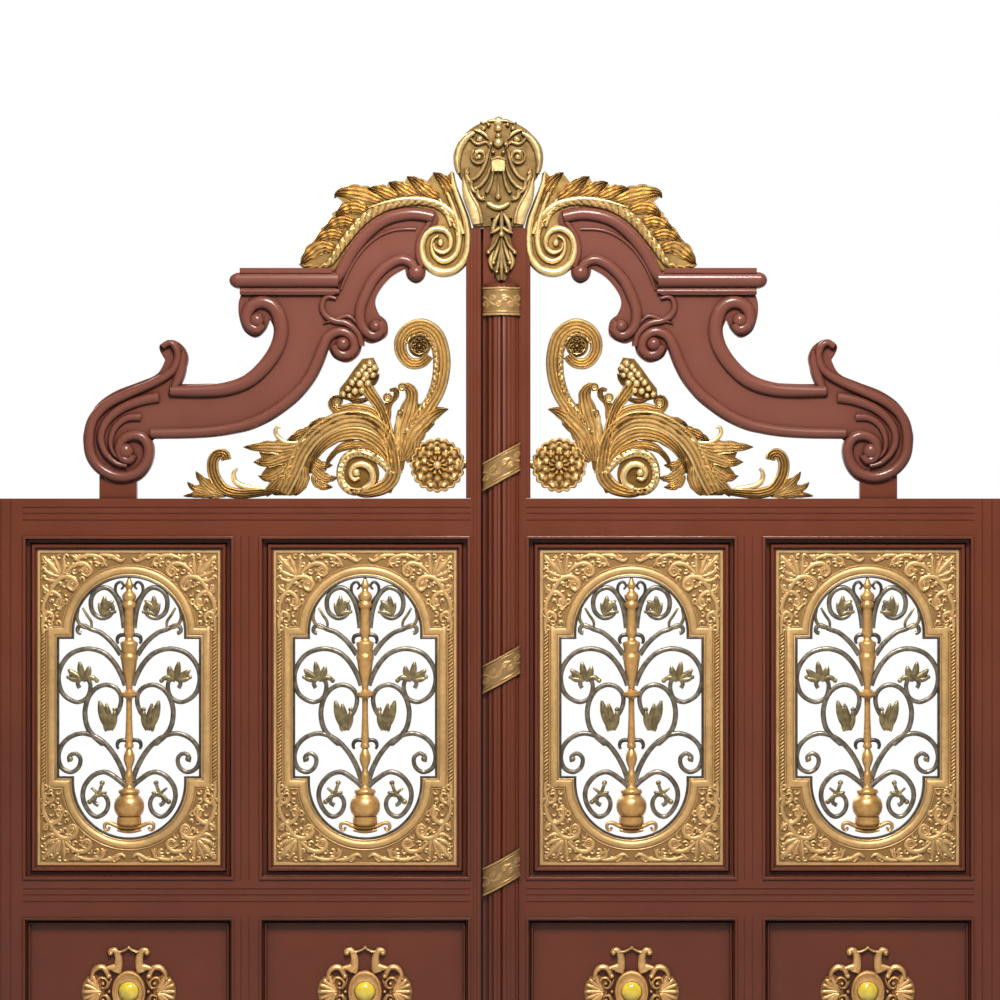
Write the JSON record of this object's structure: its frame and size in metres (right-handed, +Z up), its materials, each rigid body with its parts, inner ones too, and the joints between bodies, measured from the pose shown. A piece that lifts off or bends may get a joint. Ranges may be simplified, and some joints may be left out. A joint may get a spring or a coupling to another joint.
{
  "type": "ornamental double gate",
  "caption": "Double-leaf panelled metal gate in its frame, with pierced gilt panels, scrolled grilles, carved crests, a fluted meeting column, hinges and bolts.",
  "frame": {"origin": "on the ground under the threshold, in the middle of the opening's width and at the middle of the leaf's depth", "axes": "+X across the gate to the right as seen from the street, -Y towards the street, +Z up"},
  "size_m": [4.31, 0.188, 4.0073],
  "materials": {
    "mahogany_paint": "satin reddish brown paint, glossier on the edges",
    "gilt": "antique gilt with dark recesses",
    "dark_bronze": "dark bronze patina",
    "amber_boss": "glossy amber yellow",
    "steel": "brushed"
  },
  "bodies": {
    "frame": {"left_jamb": "mahogany_paint", "right_jamb": "mahogany_paint", "threshold": "mahogany_paint", "hinge_pins": "steel"},
    "left_leaf": {"left_outer_stile": "mahogany_paint", "left_meeting_stile": "mahogany_paint", "left_upper_mullion": "mahogany_paint", "left_lower_mullion": "mahogany_paint", "left_top_rail": "mahogany_paint", "left_mid_rail": "mahogany_paint", "left_bottom_rail": "mahogany_paint", "left_outer_bead": "mahogany_paint", "left_inner_bead": "mahogany_paint", "left_outer_surround": "gilt", "left_inner_surround": "gilt", "left_outer_grille": "dark_bronze", "left_inner_grille": "dark_bronze", "left_outer_lower_panel": "mahogany_paint", "left_inner_lower_panel": "mahogany_paint", "left_outer_medallion": "gilt", "left_inner_medallion": "gilt", "left_outer_boss": "amber_boss", "left_inner_boss": "amber_boss", "left_crest": "mahogany_paint", "left_crest_foot": "mahogany_paint", "left_crest_acanthus": "gilt", "left_spandrel_scroll": "gilt", "left_leaf_knuckles": "steel", "left_bolt_guides": "steel"},
    "right_leaf": {"right_outer_stile": "mahogany_paint", "right_meeting_stile": "mahogany_paint", "right_upper_mullion": "mahogany_paint", "right_lower_mullion": "mahogany_paint", "right_top_rail": "mahogany_paint", "right_mid_rail": "mahogany_paint", "right_bottom_rail": "mahogany_paint", "right_outer_bead": "mahogany_paint", "right_inner_bead": "mahogany_paint", "right_outer_surround": "gilt", "right_inner_surround": "gilt", "right_outer_grille": "dark_bronze", "right_inner_grille": "dark_bronze", "right_outer_lower_panel": "mahogany_paint", "right_inner_lower_panel": "mahogany_paint", "right_outer_medallion": "gilt", "right_inner_medallion": "gilt", "right_outer_boss": "amber_boss", "right_inner_boss": "amber_boss", "right_crest": "mahogany_paint", "right_crest_foot": "mahogany_paint", "right_crest_acanthus": "gilt", "right_spandrel_scroll": "gilt", "right_leaf_knuckles": "steel", "right_bolt_guides": "steel", "column": "mahogany_paint", "column_bands": "gilt", "cartouche": "gilt"},
    "left_bolt": {"left_drop_bolt": "steel"},
    "right_bolt": {"right_drop_bolt": "steel"},
    "centre_bolt": {"slide_bolt": "steel"}
  },
  "joints": [
    {"name": "left_leaf_hinge", "type": "hinge", "parent": "frame", "child": "left_leaf", "pos_m": [-2.029, 0.052, 1.24], "axis": [0, 0, 1], "range_deg": [0, 90]},
    {"name": "right_leaf_hinge", "type": "hinge", "parent": "frame", "child": "right_leaf", "pos_m": [2.029, 0.052, 1.24], "axis": [0, 0, -1], "range_deg": [0, 90]},
    {"name": "left_drop_bolt_slide", "type": "slide", "parent": "left_leaf", "child": "left_bolt", "axis": [0, 0, 1], "range_m": [-0.056, 0]},
    {"name": "right_drop_bolt_slide", "type": "slide", "parent": "right_leaf", "child": "right_bolt", "axis": [0, 0, 1], "range_m": [-0.056, 0]},
    {"name": "slide_bolt_slide", "type": "slide", "parent": "right_leaf", "child": "centre_bolt", "axis": [-1, 0, 0], "range_m": [0, 0.05]}
  ]
}
